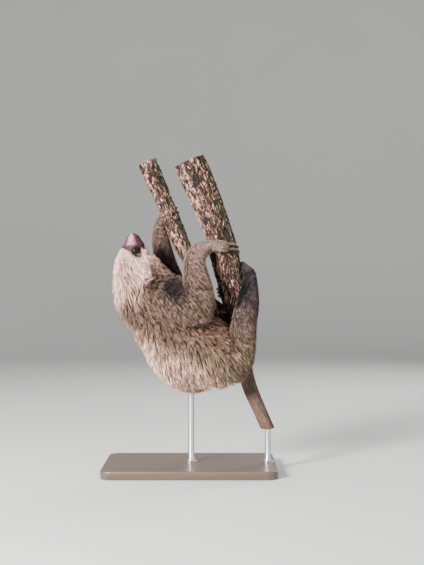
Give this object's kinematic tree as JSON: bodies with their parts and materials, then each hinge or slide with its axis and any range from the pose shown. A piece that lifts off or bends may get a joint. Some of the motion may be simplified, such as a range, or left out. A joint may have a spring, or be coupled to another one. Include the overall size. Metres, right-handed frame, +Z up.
{
  "type": "two-toed sloth, climbing, still display model",
  "caption": "Life-size still model of a two-toed sloth gripping a forked length of liana, on a flat base with short rods.",
  "frame": {"origin": "centre of the underside of the stand's base, on the floor", "axes": "+Z up; +X from the animal's back towards the vine it holds; -Y towards the animal's right side"},
  "size_m": [0.46, 0.32, 0.8536],
  "materials": {
    "coat_pale": "long soft fur, cream",
    "coat_tan": "long shaggy fur, tan with brown underfur",
    "coat_short": "short close fur, beige",
    "muzzle_skin": "bare moist skin, pinkish lilac",
    "eye": "wet, nearly black",
    "claw": "horn, greyish brown, slightly polished",
    "bark": "rough flaky bark with moss",
    "stand_board": "dark satin varnish",
    "stand_metal": "brushed"
  },
  "bodies": {
    "root": {"head": "coat_pale", "neck": "coat_pale", "chest": "coat_tan", "hindquarters": "coat_tan", "upper_arm_right": "coat_tan", "upper_arm_left": "coat_tan", "forearm_right": "coat_tan", "forearm_left": "coat_tan", "thigh_right": "coat_tan", "thigh_left": "coat_tan", "shin_right": "coat_tan", "shin_left": "coat_tan", "hand_right": "coat_short", "hand_left": "coat_short", "foot_right": "coat_short", "foot_left": "coat_short", "muzzle": "muzzle_skin", "eye_right": "eye", "eye_left": "eye", "hand_right_claw_1": "claw", "hand_right_claw_2": "claw", "hand_left_claw_1": "claw", "hand_left_claw_2": "claw", "foot_right_claw_1": "claw", "foot_right_claw_2": "claw", "foot_right_claw_3": "claw", "foot_left_claw_1": "claw", "foot_left_claw_2": "claw", "foot_left_claw_3": "claw", "perch_thick_vine": "bark", "perch_thin_vine": "bark", "stand_base": "stand_board", "stand_rod_body": "stand_metal", "stand_rod_perch": "stand_metal"}
  },
  "joints": []
}
